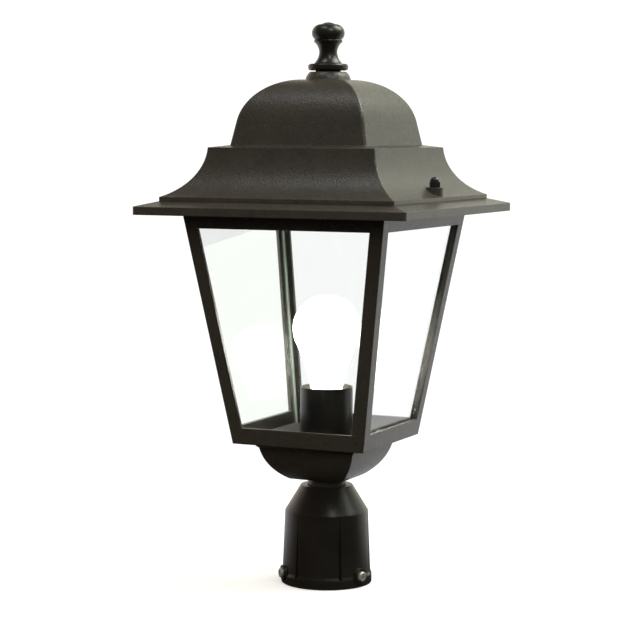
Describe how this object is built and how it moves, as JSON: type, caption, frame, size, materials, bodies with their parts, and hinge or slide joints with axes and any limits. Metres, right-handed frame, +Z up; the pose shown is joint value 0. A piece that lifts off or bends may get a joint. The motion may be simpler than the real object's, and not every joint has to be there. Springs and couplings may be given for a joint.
{
  "type": "post top lantern",
  "caption": "Cast post top lantern: a fitter that slips over a round post, a bowl, a tapered glazed cage with a wide brim, a lift-off domed roof and a turned finial.",
  "frame": {"origin": "centre of the post's bore at the fitter's lower rim", "axes": "+Z up along the post and the lantern's own axis; the front face looks along -Y; the two roof studs stand on the X axis"},
  "size_m": [0.2756, 0.2756, 0.5416],
  "materials": {
    "cast_black": "satin black paint over a rough casting",
    "smooth_black": "satin black paint over a turned or smooth cast surface",
    "nut_black": "gloss black",
    "clear_glass": "clear float glass, green at its edges",
    "sealant": "grey translucent silicone",
    "gasket_rubber": "black rubber",
    "zinc_steel": "bright zinc plate",
    "brass": "plain brass",
    "porcelain": "glazed white",
    "lamp_glass": "frosted white, lit",
    "lamp_cap": "bare rolled sheet",
    "lamp_insulator": "black vitrite",
    "solder": "dull solder"
  },
  "bodies": {
    "lantern": {"post_collar": "smooth_black", "stem_tube": "zinc_steel", "stem_locknuts": "zinc_steel", "stem_washers": "zinc_steel", "bowl": "cast_black", "bowl_screws": "zinc_steel", "cage": "cast_black", "glass_front": "clear_glass", "glass_right": "clear_glass", "glass_back": "clear_glass", "glass_left": "clear_glass", "corner_seals": "sealant", "glass_clips": "zinc_steel", "clip_screws": "zinc_steel", "roof_studs": "zinc_steel", "socket_cover": "smooth_black", "lampholder": "porcelain", "lampholder_screws": "zinc_steel", "screw_shell": "brass", "centre_contact": "brass", "ground_screw": "brass"},
    "roof": {"roof": "cast_black", "finial": "smooth_black", "finial_gasket": "gasket_rubber", "finial_stud": "zinc_steel", "finial_washer": "zinc_steel", "finial_nut": "zinc_steel"},
    "cap_nut_right": {"cap_nut_right": "nut_black"},
    "cap_nut_left": {"cap_nut_left": "nut_black"},
    "set_screw_right": {"set_screw_right": "zinc_steel"},
    "set_screw_back": {"set_screw_back": "zinc_steel"},
    "set_screw_left": {"set_screw_left": "zinc_steel"},
    "lamp": {"bulb_glass": "lamp_glass", "bulb_cap": "lamp_cap", "bulb_insulator": "lamp_insulator", "bulb_contact": "solder"}
  },
  "joints": [
    {"name": "roof_lift", "type": "slide", "parent": "lantern", "child": "roof", "axis": [0, 0, 1], "range_m": [0, 0.1]},
    {"name": "cap_nut_right_off", "type": "slide", "parent": "roof", "child": "cap_nut_right", "axis": [0, 0, 1], "range_m": [0, 0.012]},
    {"name": "cap_nut_left_off", "type": "slide", "parent": "roof", "child": "cap_nut_left", "axis": [0, 0, 1], "range_m": [0, 0.012]},
    {"name": "set_screw_right_turn", "type": "slide", "parent": "lantern", "child": "set_screw_right", "axis": [0.9537, -0.3007, 0], "range_m": [-0.002, 0.006]},
    {"name": "set_screw_back_turn", "type": "slide", "parent": "lantern", "child": "set_screw_back", "axis": [-0.2164, 0.9763, 0], "range_m": [-0.002, 0.006]},
    {"name": "set_screw_left_turn", "type": "slide", "parent": "lantern", "child": "set_screw_left", "axis": [-0.7373, -0.6756, 0], "range_m": [-0.002, 0.006]},
    {"name": "lamp_out", "type": "slide", "parent": "lantern", "child": "lamp", "axis": [0, 0, 1], "range_m": [0, 0.03]}
  ]
}
